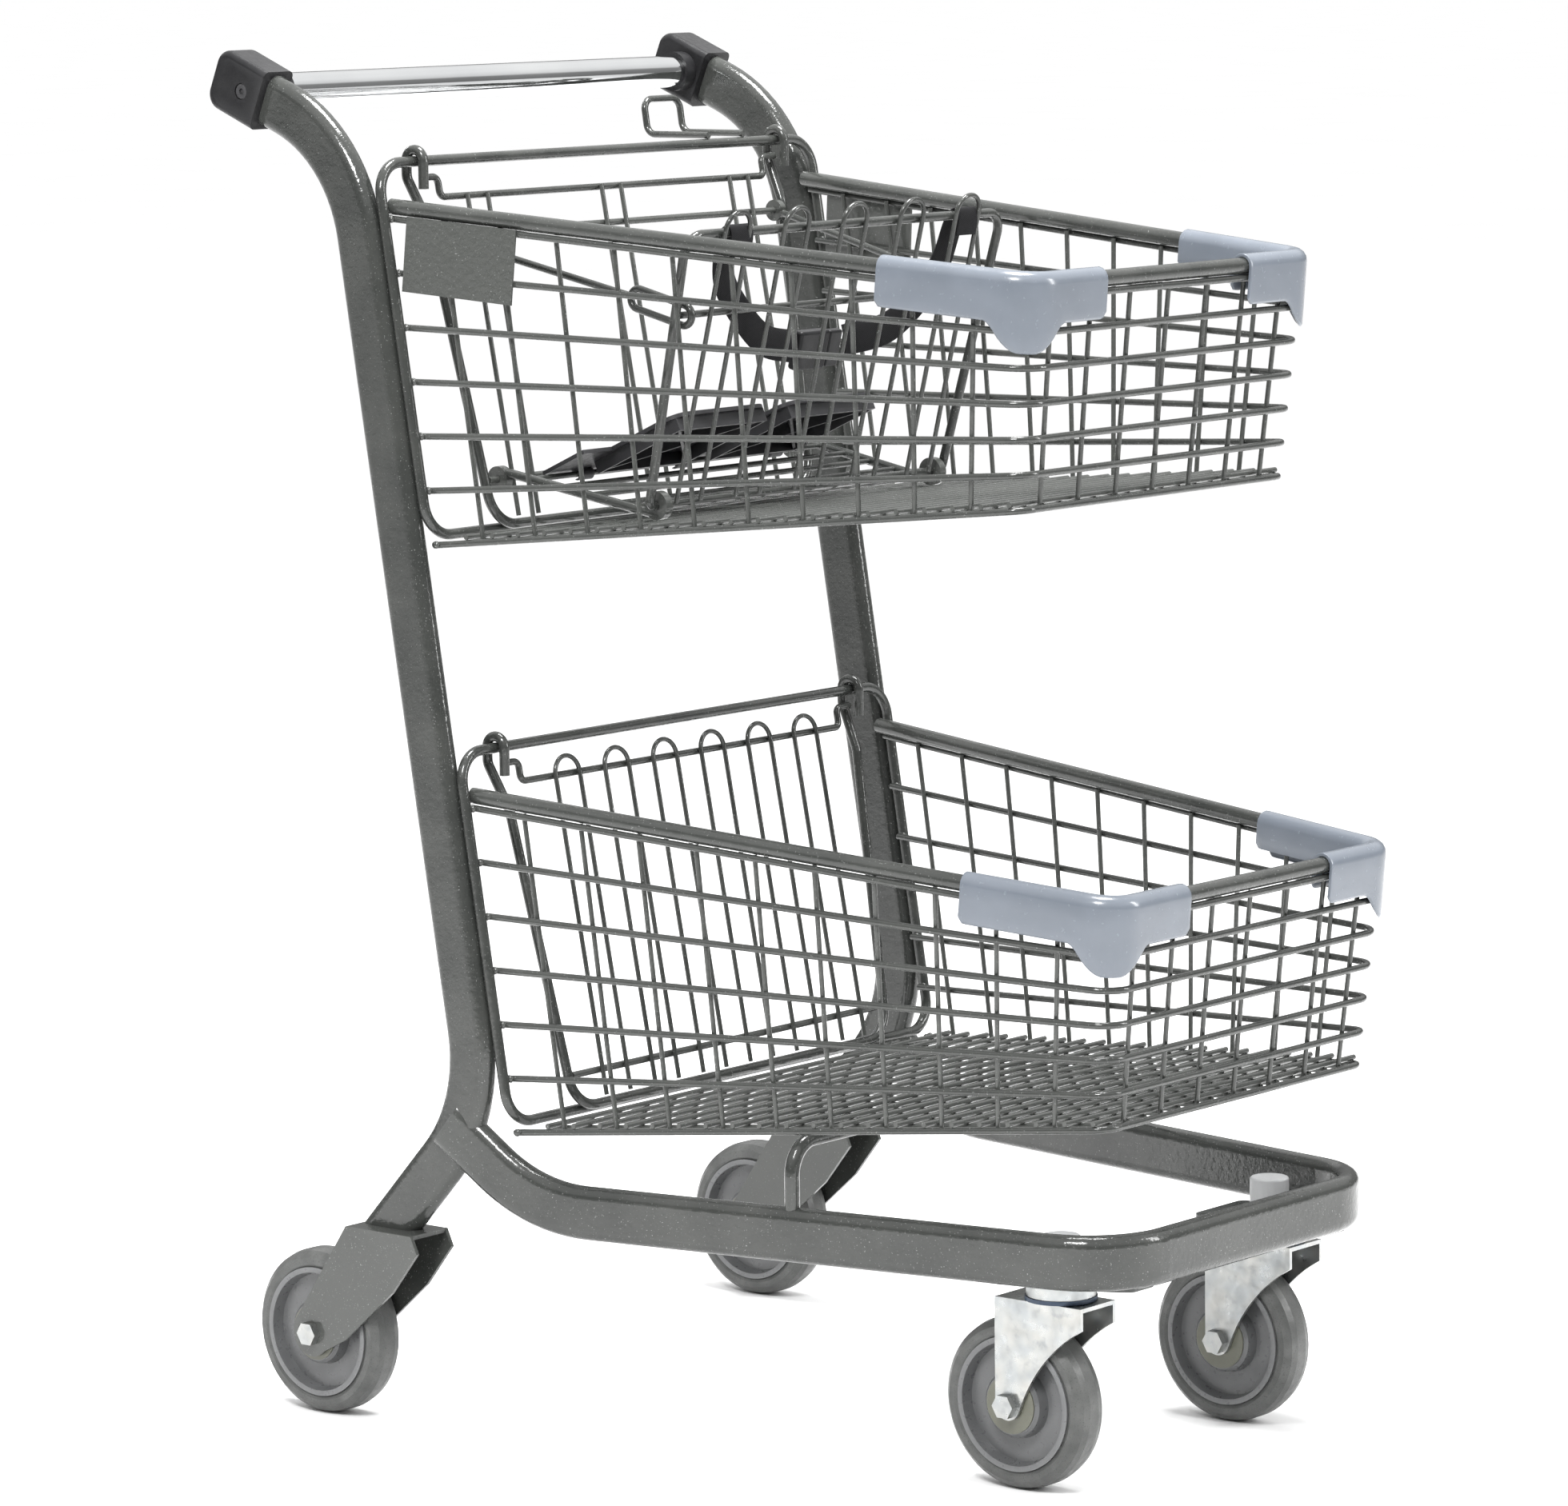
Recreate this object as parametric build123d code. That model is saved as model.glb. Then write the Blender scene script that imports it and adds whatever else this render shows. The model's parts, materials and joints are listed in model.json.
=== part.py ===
from build123d import *
import math
import os

# Two-tier shopping cart with a folding child seat, in millimetres.
# +X is the direction of travel, +Z is up and Y = 0 is the plane of symmetry.
# The floor is Z = 0. The sizes below count X from the rear axle line; the saved
# parts count it from the middle of the cart's length.

os.makedirs("parts", exist_ok=True)

# ---------------------------------------------------------------- clearances
weld_gap = 0.06        # welded wires lie this close side by side
run_gap = 0.05         # radial clearance of a shaft in its bore
side_gap = 0.5         # side play of parts that turn past each other

# ------------------------------------------------------------------- uprights
tube_deep = 40.0       # flat-oval tube, long side
tube_thin = 17.0       # flat-oval tube, short side
tube_wall = 1.5
side_y = 250.0         # half of the spacing between the two uprights
lean = 9.13            # the uprights lean back by this many degrees
upright_x = 195.6      # where the upright's straight line would meet the floor
top_corner_z = 951.0   # where the straight part would meet the handle arm
arm_rise = 22.8        # the handle arm climbs to the rear at this angle
arm_length = 83.0      # from that corner to the mouth of the handle cap
leg_corner_z = 246.5   # where the straight part would meet the rear leg
leg_slope = 47.0       # the rear leg falls to the rear at this angle
bend_r = 120.0         # centreline radius of both bends

# ------------------------------------------------------------- wheels, forks
wheel_d = 125.0
wheel_w = 30.0
hub_r = 49.0           # tyre and hub meet here
rear_y = 253.5         # half of the rear track
front_x = 562.5
front_y = 127.0        # half of the front track
trail = 33.5           # caster axis ahead of the front axle
axle_r = 5.0
fork_t = 3.0           # sheet of both kinds of fork
rear_plate_z = 149.0   # top face of the rear fork

# ------------------------------------------------------------------ base loop
base_z = 177.3         # centreline of the level part
base_joint_x = 150.0   # the loop's side line crosses the upright's plane here
base_front_x = 667.5
base_front_y = 158.0
base_corner_r = 62.0
base_drop = 38.0       # slope of the arm that comes off the upright
base_bend_r = 130.0
rod_support_d = 11.0
rod_support_x = 413.0

# -------------------------------------------------------------------- baskets
tier_pitch = 429.1     # the lower basket is the upper one moved down this far
hoop_d = 8.0
hoop_z = 938.2         # crossbar of the upper hoop
hoop_corner_r = 24.0
rim_d = 12.0
row_d = 5.0            # outer wires that run round the basket
stay_d = 3.6           # inner wires that stand up from the floor
floor_d = 4.0          # wires of the floor
rim_rear_z = 906.6
rim_front_x = 604.0
rim_front_z = 860.4
rim_front_y = 163.5
floor_rear_z = 660.5
floor_front_x = 590.0
floor_front_z = 703.0
floor_front_y = 156.5
corner_r = 22.0
row_count = 6          # spaces between the rows of wire
stay_pitch = 44.0
stay_first = 38.0      # from the rear post to the first stay
stay_count = 10        # on each side
front_stay_pitch = 45.6
front_stay_count = 7
floor_long_count = 15
bumper_wall = 2.6
bumper_deep = 36.0     # top of the rim guard to its straight lower edge
bumper_lobe = 24.0     # the rounded lobe at the corner hangs this much lower
bumper_side = 119.0
bumper_front = 78.0

# ---------------------------------------------------------------------- gates
gate_d = 7.6           # outer frame of a gate
gate_top_y = 207.0
gate_bottom_y = 184.0
gate_bottom_drop = 268.0   # crossbar down to the bottom bar of the gate
gate_corner_r = 26.0
gate_wire_d = 3.6
yoke_d = 5.3
yoke_drop = 27.0
hook_tail = 20.0

# ----------------------------------------------------------------- child seat
seat_pivot_z = 703.5   # rear eyes of the pan, on the gate
pan_reach_x = 260.0    # front eyes of the pan, at the foot of the seat back
pan_reach_z = 690.5
pan_y = 160.0
pan_d = 7.0
back_top_x = 310.7
back_top_z = 888.3
back_top_y = 184.0
back_d = 7.0
arm_d = 5.5
arm_rear_z = 884.0     # rear eyes of the arms, on the gate
arm_front_z = 830.5    # slots of the arms, round the seat back
slot_run = 44.0        # how far the seat back slides in an arm's slot

handle_d = 25.0
cap_wide = 31.0


def rod(points, bend, radius):
    """A round wire along straight runs joined by arcs of radius bend."""
    path = FilletPolyline(*points, radius=bend)
    start = Plane(origin=path @ 0, z_dir=path % 0)
    return sweep(start * Circle(radius), path=path)


def bar(start, end, radius):
    """A straight round wire."""
    span = Vector(*end) - Vector(*start)
    return Solid.make_cylinder(radius, span.length, Plane(origin=start, z_dir=span))


def mirrored(shape):
    return shape.mirror(Plane.XZ)


def pair(shape):
    return Compound(children=[shape, mirrored(shape)])


def group(shapes):
    solids = []
    for shape in shapes:
        solids.extend(shape.solids())
    return Compound(children=solids)


def largest(shape):
    return max(shape.solids(), key=lambda solid: solid.volume)


def save(shape, name):
    export_step(Pos(-middle_x, 0, 0) * shape, "parts/" + name + ".step")


def lerp(a, b, t):
    return tuple(p + (q - p) * t for p, q in zip(a, b))


def turned(profile, centre):
    """A solid of revolution about the Y direction; profile holds (radius, y)."""
    face = make_face(Polyline(*[(r, y, 0) for r, y in profile], close=True))
    return Pos(*centre) * revolve(face, axis=Axis.Y)


# ------------------------------------------------------------ upright and legs
tan_lean = math.tan(math.radians(lean))


def upright_at(z):
    """X of the straight part's centreline at height z."""
    return upright_x - z * tan_lean


def post_at(z):
    """X of the hoop's posts, which run down the front of the uprights."""
    offset = (tube_deep / 2 + hoop_d / 2 + weld_gap) / math.cos(math.radians(lean))
    return upright_at(z) + offset


arm_dir = (-math.cos(math.radians(arm_rise)), math.sin(math.radians(arm_rise)))
leg_dir = (-math.cos(math.radians(leg_slope)), -math.sin(math.radians(leg_slope)))
arm_corner = (upright_at(top_corner_z), top_corner_z)
cap_mouth = tuple(c + d * arm_length for c, d in zip(arm_corner, arm_dir))
tube_in_cap = 10.0
leg_corner = (upright_at(leg_corner_z), leg_corner_z)


def flat_tube(points, bends, across, grow=0.0):
    """A flat-oval tube along a flat path; across is its thin direction."""
    path = FilletPolyline(*points, radius=bends)
    start = Plane(origin=path @ 0, x_dir=Vector(*across).cross(path % 0), z_dir=path % 0)
    deep = tube_deep + 2 * grow
    thin = tube_thin + 2 * grow
    return sweep(start * SlotOverall(deep, thin), path=path)


def upright_solid(grow=0.0):
    reach = arm_length + tube_in_cap
    top = tuple(c + d * reach for c, d in zip(arm_corner, arm_dir))
    leg = (leg_corner[1] - rear_plate_z) / -leg_dir[1] + tube_deep
    foot = tuple(c + d * leg for c, d in zip(leg_corner, leg_dir))
    points = [(x, -side_y, z) for x, z in (top, arm_corner, leg_corner, foot)]
    return flat_tube(points, bend_r, (0, 1, 0), grow)


def above(z):
    """A block that keeps everything above height z."""
    return Pos(0, 0, z + 1000) * Box(3000, 1200, 2000)


upright_outer = upright_solid()


def upright():
    tube = upright_outer - upright_solid(-tube_wall)
    return largest(tube & above(rear_plate_z + weld_gap))


# -------------------------------------------------------------------- the base
side_angle = math.atan2(side_y - base_front_y, base_front_x - base_joint_x)


def base_side_y(x):
    return side_y - (x - base_joint_x) * math.tan(side_angle)


def base_outline(grow=0.0):
    """The level part: both sides and the round front."""
    start_x = base_joint_x + 100.0
    run = [(start_x, -base_side_y(start_x)), (base_front_x, -base_front_y)]
    run += [(base_front_x, base_front_y), (start_x, base_side_y(start_x))]
    points = [(x, y, base_z) for x, y in run]
    path = FilletPolyline(*points, radius=base_corner_r)
    start = Plane(origin=path @ 0, x_dir=(0, 0, 1), z_dir=path % 0)
    slot = SlotOverall(tube_deep + 2 * grow, tube_thin + 2 * grow)
    return sweep(start * slot, path=path)


def base_arm(grow=0.0):
    """From the level part up to the upright, in one vertical plane."""
    start_x = base_joint_x + 100.0
    along = (-math.cos(side_angle), -math.sin(side_angle))
    start = (start_x, -base_side_y(start_x))
    tangent = base_bend_r * math.tan(math.radians(base_drop) / 2)
    flat = tangent + 6.0
    climb = tangent + 48.0
    corner = (start[0] + along[0] * flat, start[1] + along[1] * flat, base_z)
    level = climb * math.cos(math.radians(base_drop))
    rise = climb * math.sin(math.radians(base_drop))
    top = (corner[0] + along[0] * level, corner[1] + along[1] * level, base_z + rise)
    across = (math.sin(side_angle), -math.cos(side_angle), 0)
    return flat_tube([(*start, base_z), corner, top], base_bend_r, across, grow)


def base_loop():
    outer = base_outline() + base_arm() + mirrored(base_arm())
    inner = base_outline(-tube_wall) + base_arm(-tube_wall) + mirrored(base_arm(-tube_wall))
    keep = outer - inner
    near = upright_solid(weld_gap)
    return largest(keep - near - mirrored(near))


def basket_floor_z(x):
    """Centre height of the upper basket's floor edge wire."""
    run = floor_front_x - post_at(floor_rear_z)
    return floor_rear_z + (floor_front_z - floor_rear_z) * (x - post_at(floor_rear_z)) / run


tier_shift = (tier_pitch * tan_lean, 0, -tier_pitch)


def basket_support():
    """The inverted U that carries the lower basket on the base."""
    foot_y = base_side_y(rod_support_x)
    under = basket_floor_z(rod_support_x - tier_shift[0]) - tier_pitch - row_d / 2
    top = under - rod_support_d / 2 - weld_gap
    foot = base_z + tube_deep / 2 - tube_thin / 2
    points = [(rod_support_x, -foot_y, foot), (rod_support_x, -foot_y, top)]
    points += [(rod_support_x, foot_y, top), (rod_support_x, foot_y, foot)]
    hoop = rod(points, 24.0, rod_support_d / 2)
    return largest(hoop - (base_outline(weld_gap)))


# --------------------------------------------------------------------- baskets
hoop_y = side_y - (tube_thin - hoop_d) / 4


def hoop():
    """A closed loop: crossbar, two posts and the cross rod under the floor."""
    bottom_z = floor_rear_z + row_d / 2 + hoop_d / 2 + weld_gap
    top_x = post_at(hoop_z)
    low_x = post_at(bottom_z)
    points = [(top_x, 0, hoop_z), (top_x, hoop_y, hoop_z), (low_x, hoop_y, bottom_z)]
    points.append((low_x, 0, bottom_z))
    half = rod(points, hoop_corner_r, hoop_d / 2)
    return half + mirrored(half)


rim_rear_y = hoop_y - hoop_d / 2 - rim_d / 2 - weld_gap
row_rear_y = hoop_y - hoop_d / 2 - row_d / 2 - weld_gap


def rim():
    """The thick rod round the top of the basket, open at the rear."""
    rear = (post_at(rim_rear_z) - 1.0, rim_rear_y, rim_rear_z)
    front = (rim_front_x, rim_front_y, rim_front_z)
    points = [(rear[0], -rear[1], rear[2]), (front[0], -front[1], front[2]), front, rear]
    return rod(points, corner_r, rim_d / 2)


# The rows run from a rear corner line to a front corner line; fraction 0 is
# the wire under the rim and fraction 1 is the edge of the floor.
row_drop = rim_d / 2 + row_d / 2 + weld_gap
outward = (rim_d - row_d) / 2
rim_slope = math.atan2(rim_rear_z - rim_front_z, rim_front_x - post_at(rim_rear_z))


def row_rear(t):
    z = rim_rear_z - row_drop + (floor_rear_z - rim_rear_z + row_drop) * t
    return (post_at(z), row_rear_y, z)


def row_front(t):
    x = rim_front_x + outward - row_drop * math.sin(rim_slope)
    top = (x, rim_front_y + outward, rim_front_z - row_drop)
    return lerp(top, (floor_front_x, floor_front_y, floor_front_z), t)


def row(t):
    rear = row_rear(t)
    front = row_front(t)
    points = [(rear[0], -rear[1], rear[2]), (front[0], -front[1], front[2]), front, rear]
    return rod(points, corner_r + front[1] - rim_front_y, row_d / 2)


def rows():
    return group([row(i / row_count) for i in range(row_count + 1)])


twist_gap = 0.3        # the walls twist a little, so the stays need more room
wall_step = row_d / 2 + stay_d / 2 + twist_gap
floor_lift = row_d / 2 + floor_d / 2 + weld_gap
stay_over = 1.2        # the stays end this far above the centre of the top row


def wall_normal():
    """Inward direction of the left wall, nearly the same all along it."""
    along = Vector(*row_front(0.5)) - Vector(*row_rear(0.5))
    down = Vector(*row_front(1)) - Vector(*row_front(0))
    normal = along.cross(down).normalized()
    return normal if normal.Y < 0 else -normal


def side_stay(index):
    """One upright wire of the left wall, just inside the rows."""
    at = stay_first + stay_pitch * index
    share = at / (row_front(1)[0] - row_rear(1)[0])
    inward = wall_normal() * wall_step
    top = Vector(*lerp(row_rear(0), row_front(0), share)) + inward
    foot = Vector(*lerp(row_rear(1), row_front(1), share)) + inward
    rise = (top - foot).normalized()
    return bar(top + rise * stay_over, foot - rise * (row_d / 2), stay_d / 2)


def front_stay(index):
    y = (index - (front_stay_count - 1) / 2) * front_stay_pitch
    x_top = row_front(0)[0]
    x_foot = row_front(1)[0]
    lean_in = math.hypot(x_top - x_foot, row_front(0)[2] - row_front(1)[2])
    inward = wall_step * lean_in / (row_front(0)[2] - row_front(1)[2])
    top = (x_top - inward, y, row_front(0)[2] + stay_over)
    foot = (x_foot - inward, y * floor_front_y / rim_front_y, row_front(1)[2] - row_d / 2)
    return bar(top, foot, stay_d / 2)


def stays():
    wires = []
    for index in range(stay_count):
        wires.append(side_stay(index))
        wires.append(mirrored(side_stay(index)))
    for index in range(front_stay_count):
        wires.append(front_stay(index))
    return group(wires)


floor_slope = math.atan2(floor_front_z - floor_rear_z, floor_front_x - post_at(floor_rear_z))


def floor_cross():
    """Wires across the floor, resting on its edge wire between the stays."""
    lift = floor_lift
    wires = []
    count = 2 * stay_count + 1
    for index in range(count):
        at = stay_first + stay_pitch * (index - 1) / 2 + stay_pitch / 4
        share = at / (row_front(1)[0] - row_rear(1)[0])
        x, y, z = lerp(row_rear(1), row_front(1), share)
        x -= lift * math.sin(floor_slope)
        z += lift * math.cos(floor_slope)
        wires.append(bar((x, -y - 1, z), (x, y + 1, z), floor_d / 2))
    return group(wires)


def floor_long():
    """Wires along the floor, under the cross wires, closer together in front."""
    lift = floor_lift - floor_d - weld_gap
    rear = row_rear(1)
    front = row_front(1)
    wires = []
    for index in range(floor_long_count):
        part = (index + 0.5) / floor_long_count * 2 - 1
        inner_rear = rear[1] - 6.0
        inner_front = front[1] - 6.0
        start = (rear[0] + 12.0, inner_rear * part, rear[2] + 12.0 * math.tan(floor_slope))
        reach = front[0] - row_d / 2 - floor_d / 2 - 3.0
        fall = (front[0] - reach) * math.tan(floor_slope)
        end = (reach, inner_front * part, front[2] - fall)
        up = (-lift * math.sin(floor_slope), 0, lift * math.cos(floor_slope))
        start = tuple(a + b for a, b in zip(start, up))
        end = tuple(a + b for a, b in zip(end, up))
        wires.append(bar(start, end, floor_d / 2))
    return group(wires)


def corner_plate():
    """A blank plate in the rear upper corner, between the rim and a row."""
    thick = 1.5
    length = 96.0
    low = 1.3 / row_count
    rear_top = row_rear(0)
    along = (Vector(*row_front(0)) - Vector(*rear_top)).normalized()
    down = (Vector(*row_rear(low)) - Vector(*rear_top))
    outward_dir = along.cross(down).normalized()
    offset = outward_dir * (row_d / 2 + thick / 2 + weld_gap)
    up_to_rim = down.normalized() * -(row_d / 2)
    middle = (down + up_to_rim) / 2
    centre = Vector(*rear_top) + along * (length / 2 + 11) + middle + offset
    plate = Plane(origin=centre, x_dir=along, z_dir=outward_dir)
    return plate * Box(length, down.length + row_d / 2, thick)


def bumper():
    """Plastic corner guard that hooks over the rim, left front corner."""
    inner_r = rim_d / 2 + 0.45
    outer_r = inner_r + bumper_wall
    corner = Vector(rim_front_x, rim_front_y, rim_front_z)
    rear = Vector(post_at(rim_rear_z), rim_rear_y, rim_rear_z)
    back = (rear - corner).normalized()
    inboard = Vector(0, -1, 0)

    def follow(section, side_leg, front_leg):
        path = FilletPolyline(corner + back * side_leg, corner, corner + inboard * front_leg,
                              radius=corner_r)
        left = Vector(0, 0, 1).cross(path % 0)
        return sweep(Plane(origin=path @ 0, x_dir=left, z_dir=path % 0) * section, path=path)

    drop = bumper_deep - outer_r
    hood = Circle(outer_r) + Pos(0, -drop / 2) * Rectangle(2 * outer_r, drop)
    slot = Circle(inner_r) + Pos(0, -drop / 2 - 1) * Rectangle(2 * inner_r, drop + 2)
    guard = follow(hood - slot, bumper_side, bumper_front)
    tall = bumper_lobe + 6.0
    flap = Pos(inner_r + bumper_wall / 2, -drop - tall / 2 + 6.0) * Rectangle(bumper_wall, tall)
    reach = corner_r + 14.0
    outer_skin = follow(flap, reach, reach)
    bisector = back + inboard
    lobe_r = 26.0
    centre = corner + Vector(0, 0, -drop - bumper_lobe + lobe_r)
    round_cut = Plane(origin=centre, z_dir=bisector) * Cylinder(lobe_r, 400.0)
    return largest(guard + (outer_skin & round_cut))


# ------------------------------------------------------------- handle and caps
handle_at = (cap_mouth[0] + arm_dir[0] * 18.0, cap_mouth[1] + arm_dir[1] * 18.0)
socket_y = side_y - cap_wide / 2 - 9.0


def handle_bar():
    half = socket_y + 3.0
    outer = Cylinder(handle_d / 2, 2 * half, rotation=(90, 0, 0))
    inner = Cylinder(handle_d / 2 - 1.2, 2 * half, rotation=(90, 0, 0))
    return Pos(handle_at[0], 0, handle_at[1]) * (outer - inner)


def handle_cap():
    """The moulded block that closes the right arm and holds the bar."""
    length = 50.0
    height = tube_deep + 6.0
    middle = length / 2
    centre = (cap_mouth[0] + arm_dir[0] * middle, cap_mouth[1] + arm_dir[1] * middle)
    plane = Plane(origin=(centre[0], -side_y, centre[1]), x_dir=(-arm_dir[0], 0, -arm_dir[1]),
                  z_dir=(0, -1, 0))
    outline = plane * Rectangle(length, height)
    rear = outline.vertices().sort_by(lambda v: v.X)[:2]
    block = extrude(fillet(rear, 12.0), cap_wide / 2, both=True)
    round_edges = [e for e in block.edges() if abs(e.center().Y + side_y) > cap_wide / 2 - 0.1]
    mouth_x = (plane * Pos(length / 2, 0, 0)).position
    keep = [e for e in round_edges if (e.center() - mouth_x).dot(plane.x_dir) < -1.0]
    block = fillet(keep, 5.0)
    socket = Pos(handle_at[0], -(side_y - cap_wide / 2 - 4), handle_at[1])
    block = block + socket * Cylinder(handle_d / 2 + 3.0, 14.0, rotation=(90, 0, 0))
    bar_seat = Pos(handle_at[0], -(socket_y - 10), handle_at[1])
    block = block - bar_seat * Cylinder(handle_d / 2 + weld_gap, 26.0 + weld_gap, rotation=(90, 0, 0))
    block = block - upright_solid(weld_gap)
    hole = Pos(handle_at[0], -side_y, handle_at[1])
    block = block - hole * Cylinder(3.2, 80.0, rotation=(90, 0, 0))
    recess = Pos(handle_at[0], -(side_y + cap_wide / 2), handle_at[1])
    block = block - recess * Cylinder(6.0, 6.0, rotation=(90, 0, 0))
    return largest(block)


def cap_bolt():
    """Socket-head screw that holds the bar to its cap."""
    head_y = side_y + cap_wide / 2 - 3.0 + weld_gap
    at = Pos(handle_at[0], -head_y - 1.0, handle_at[1])
    head = at * Cylinder(5.5, 2.0, rotation=(90, 0, 0))
    shank_y = head_y - 13.0
    shank = Pos(handle_at[0], -shank_y, handle_at[1]) * Cylinder(3.0, 26.0, rotation=(90, 0, 0))
    key = Pos(handle_at[0], -head_y - 2.0, handle_at[1]) * Rot(90, 0, 0)
    socket = key * extrude(RegularPolygon(2.5, 6), 1.2, both=True)
    return head + shank - socket


def bag_hook():
    """A bent wire loop behind the crossbar, on the left side."""
    wire = 5.3
    z = hoop_z + hoop_d / 2 + wire / 2 + weld_gap
    x = post_at(hoop_z) + 2.0
    y_in = 124.0
    y_out = 166.0
    reach = 62.0
    rise = 27.0
    points = [(x, y_in, z), (x - reach, y_in, z), (x - reach - 4, y_in, z + rise)]
    points += [(x - reach - 4, y_out, z + rise), (x - reach, y_out, z), (x, y_out, z)]
    return rod(points, 9.0, wire / 2)


# ------------------------------------------------------------------ the wheels
def tyre(centre):
    half = wheel_w / 2
    r = wheel_d / 2
    profile = [(hub_r + weld_gap, -half + 1.5), (hub_r + 3, -half), (r - 6, -half), (r - 1.4, -half + 4.5)]
    profile += [(r, -half + 10), (r, half - 10), (r - 1.4, half - 4.5), (r - 6, half)]
    profile += [(hub_r + 3, half), (hub_r + weld_gap, half - 1.5)]
    return turned(profile, centre)


bush_r = axle_r + 16.0
bush_half = wheel_w / 2 + 2.0


def hub(centre):
    half = wheel_w / 2
    bore = bush_r + weld_gap
    boss = bush_r + 3.0
    profile = [(bore, -bush_half + 1), (boss - 2, -bush_half + 1), (boss, -half + 1)]
    profile += [(boss + 2, -6), (hub_r - 6, -6), (hub_r - 4, -half), (hub_r, -half)]
    profile += [(hub_r, half), (hub_r - 4, half), (hub_r - 6, 6), (boss + 2, 6)]
    profile += [(boss, half - 1), (boss - 2, bush_half - 1), (bore, bush_half - 1)]
    return turned(profile, centre)


def bush(centre):
    inner = axle_r + run_gap
    profile = [(inner, -bush_half), (bush_r, -bush_half), (bush_r, bush_half), (inner, bush_half)]
    return turned(profile, centre)


fork_half = bush_half + side_gap
head_t = 6.0


def axle(centre):
    """Hexagon bolt and nut across the fork."""
    x, y, z = centre
    outer = fork_half + fork_t
    shank = Pos(x, y, z) * Cylinder(axle_r, 2 * (outer + head_t + weld_gap), rotation=(90, 0, 0))
    head = Pos(x, y - outer - weld_gap, z) * Rot(90, 0, 0) * extrude(RegularPolygon(9.2, 6), head_t)
    bolt = shank - (Pos(x, y - outer - weld_gap - 50, z) * Box(60, 100, 60)) + head
    nut = Pos(x, y + outer + weld_gap, z) * Rot(-90, 0, 0) * extrude(RegularPolygon(9.2, 6), head_t)
    nut = nut - Pos(x, y, z) * Cylinder(axle_r + 0.02, 100, rotation=(90, 0, 0))
    return [largest(bolt), largest(nut)]


def cheek(outline, centre_x, y, round_r):
    """One side plate of a fork: an outline plus a round end at the axle."""
    face = make_face(Polyline(*outline, close=True))
    end = Pos(centre_x, wheel_d / 2) * Circle(round_r)
    plate = Plane.XZ * (face + end)
    solid = extrude(plate, fork_t / 2, both=True)
    return Pos(0, y, 0) * solid


def rear_fork(side):
    """Painted pressed fork, welded under a rear leg."""
    mid = side * rear_y
    top = rear_plate_z
    outline = [(-16.5, 69.7), (38.0, top), (104.0, top), (110.0, top - 13.0), (84.0, 103.6)]
    outline += [(36.0, 62.0), (13.0, 50.0)]
    parts = [cheek(outline, 0, mid - fork_half - fork_t / 2, 18.0)]
    parts.append(cheek(outline, 0, mid + fork_half + fork_t / 2, 18.0))
    roof = Pos(71.0, mid, top - fork_t / 2) * Box(66.0, 2 * fork_half + 2 * fork_t, fork_t)
    body = parts[0] + parts[1] + roof
    bore = Pos(0, mid, wheel_d / 2) * Cylinder(axle_r + 0.1, 100, rotation=(90, 0, 0))
    return largest(body - bore)


caster_x = front_x + trail
mount_z = base_z - tube_deep / 2 - weld_gap
head_low = mount_z - 3.0 - 10.0
seal_t = 3.0
fork_top = head_low - seal_t - 0.5


def caster_head(side):
    """Mounting plate, bearing cup and king pin, fixed under the base."""
    corner = [(caster_x - 52, front_y - 26), (caster_x - 52, front_y + 40), (caster_x + 20, front_y + 28)]
    corner += [(caster_x + 66, front_y + 4), (caster_x + 66, front_y - 26)]
    plate = extrude(make_face(Polyline(*corner, close=True)), -3.0)
    plate = fillet(plate.edges().filter_by(Axis.Z), 8.0)
    plate = Pos(0, 0, mount_z) * plate
    cup = Pos(caster_x, front_y, head_low + 5.0) * Cylinder(25.0, 10.0)
    pin = Pos(caster_x, front_y, head_low - 11.0) * Cylinder(6.0, 22.0)
    knob = Pos(caster_x, front_y, head_low - 21.0) * Cylinder(9.0, 3.0)
    stem = Pos(caster_x, front_y, mount_z + 4.0) * Cylinder(8.0, 8.0)
    body = plate + cup + pin + knob + stem
    return body if side > 0 else mirrored(body)


def stem_cap(side):
    """Plastic cap over the nut of the king pin."""
    outer = Cylinder(14.5, 30.0, align=(Align.CENTER, Align.CENTER, Align.MIN))
    outer = fillet(outer.edges().group_by(Axis.Z)[-1], 2.0)
    inner = Cylinder(8.0 + weld_gap, 9.0, align=(Align.CENTER, Align.CENTER, Align.MIN))
    return Pos(caster_x, side * front_y, mount_z + weld_gap) * (outer - inner)


def swivel_seal(side):
    ring = Cylinder(26.0, seal_t) - Cylinder(7.0, seal_t)
    return Pos(caster_x, side * front_y, head_low - seal_t / 2 - weld_gap) * ring


def caster_fork(side):
    """Zinc-plated swivel fork with a concave front edge."""
    mid = side * front_y
    low_x = front_x - 10.5
    shoulder = (front_x + 66.0, fork_top - 16.0)
    outline = make_face(
        Polyline((low_x, wheel_d / 2), (low_x, fork_top), (front_x + 66.0, fork_top), shoulder)
        + ThreePointArc(shoulder, (front_x + 34.0, fork_top - 42.0), (front_x + 10.6, wheel_d / 2 - 3.0))
        + Line((front_x + 10.6, wheel_d / 2 - 3.0), (low_x, wheel_d / 2))
    )
    end = Pos(front_x, wheel_d / 2) * Circle(10.8)
    plate = extrude(Plane.XZ * (outline + end), fork_t / 2, both=True)
    near = Pos(0, mid - fork_half - fork_t / 2, 0) * plate
    far = Pos(0, mid + fork_half + fork_t / 2, 0) * plate
    roof_x = (low_x + front_x + 66.0) / 2
    wide = 2 * fork_half + 2 * fork_t
    roof = Pos(roof_x, mid, fork_top - fork_t / 2) * Box(front_x + 66.0 - low_x, wide, fork_t)
    body = near + far + roof
    body = body - Pos(front_x, mid, wheel_d / 2) * Cylinder(axle_r + 0.1, 100, rotation=(90, 0, 0))
    body = body - Pos(caster_x, mid, fork_top) * Cylinder(6.0 + run_gap, 40)
    return largest(body)


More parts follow.
